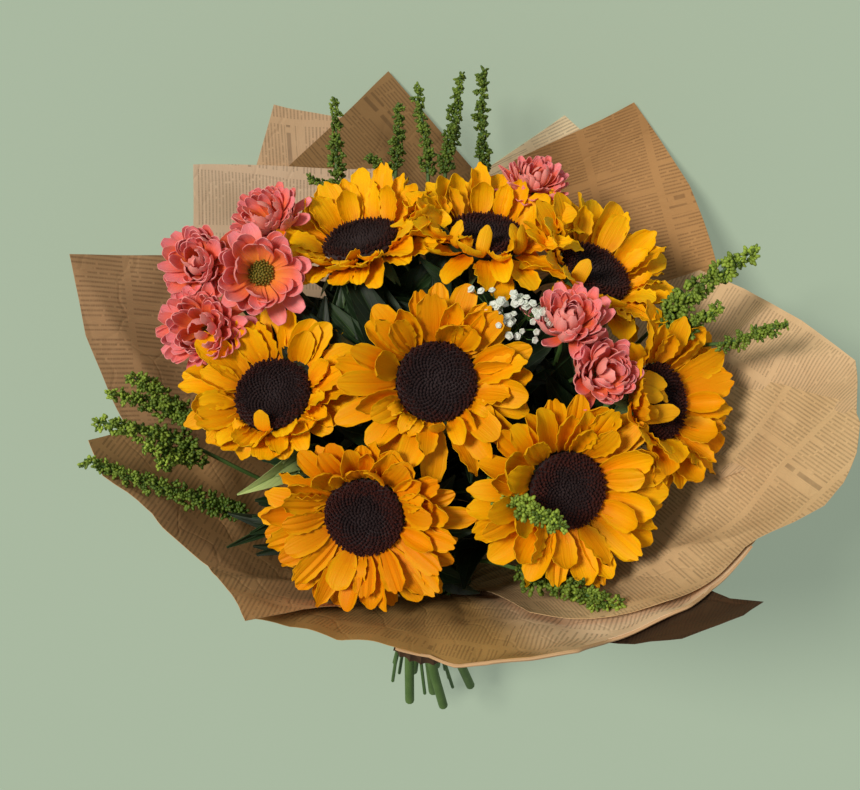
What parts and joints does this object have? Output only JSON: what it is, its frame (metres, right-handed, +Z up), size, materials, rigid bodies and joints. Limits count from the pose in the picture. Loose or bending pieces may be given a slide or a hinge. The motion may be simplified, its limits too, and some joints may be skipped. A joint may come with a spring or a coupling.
{
  "type": "sunflower bouquet in newsprint wrap",
  "caption": "Hand-tied bunch of sunflowers, pink daisies, green spikes and baby's breath in a flared newsprint wrap, lying on its side.",
  "frame": {"origin": "centre of the bounding box's footprint, on the surface the bunch lies on", "axes": "+Z up from the surface; +Y from the cut stem ends towards the flowers; +X across the bunch"},
  "size_m": [0.5584, 0.5861, 0.3737],
  "materials": {
    "sunflower_petals": "satin",
    "sunflower_disc": "matte",
    "green_stem": "satin",
    "daisy_petals": "satin",
    "green_spike": "matte",
    "babys_breath": "matte",
    "newsprint": "matte",
    "binding": "matte",
    "tie": "matte"
  },
  "bodies": {
    "root": {"sunflower_petals_1": "sunflower_petals", "sunflower_disc_1": "sunflower_disc", "sunflower_stem_1": "green_stem", "sunflower_petals_2": "sunflower_petals", "sunflower_disc_2": "sunflower_disc", "sunflower_stem_2": "green_stem", "sunflower_petals_3": "sunflower_petals", "sunflower_disc_3": "sunflower_disc", "sunflower_stem_3": "green_stem", "sunflower_petals_4": "sunflower_petals", "sunflower_disc_4": "sunflower_disc", "sunflower_stem_4": "green_stem", "sunflower_petals_5": "sunflower_petals", "sunflower_disc_5": "sunflower_disc", "sunflower_stem_5": "green_stem", "sunflower_petals_6": "sunflower_petals", "sunflower_disc_6": "sunflower_disc", "sunflower_stem_6": "green_stem", "sunflower_petals_7": "sunflower_petals", "sunflower_disc_7": "sunflower_disc", "sunflower_stem_7": "green_stem", "sunflower_petals_8": "sunflower_petals", "sunflower_disc_8": "sunflower_disc", "sunflower_stem_8": "green_stem", "daisy_head_1": "daisy_petals", "daisy_head_2": "daisy_petals", "daisy_head_3": "daisy_petals", "daisy_head_4": "daisy_petals", "daisy_head_5": "daisy_petals", "daisy_head_6": "daisy_petals", "daisy_head_7": "daisy_petals", "daisy_stem_left": "green_stem", "daisy_stem_right": "green_stem", "daisy_stem_back": "green_stem", "green_spike_1": "green_spike", "green_spike_2": "green_spike", "green_spike_3": "green_spike", "green_spike_4": "green_spike", "green_spike_5": "green_spike", "green_spike_6": "green_spike", "green_spike_7": "green_spike", "green_spike_8": "green_spike", "green_spike_9": "green_spike", "green_spike_10": "green_spike", "green_spike_11": "green_spike", "green_spike_12": "green_spike", "babys_breath": "babys_breath", "paper_sheet_1": "newsprint", "paper_sheet_2": "newsprint", "paper_sheet_3": "newsprint", "paper_sheet_4": "newsprint", "paper_sheet_5": "newsprint", "paper_sheet_6": "newsprint", "paper_sheet_7": "newsprint", "paper_sheet_8": "newsprint", "paper_sheet_9": "newsprint", "paper_sheet_10": "newsprint", "stem_binding": "binding", "wrap_tie": "tie"}
  },
  "joints": []
}
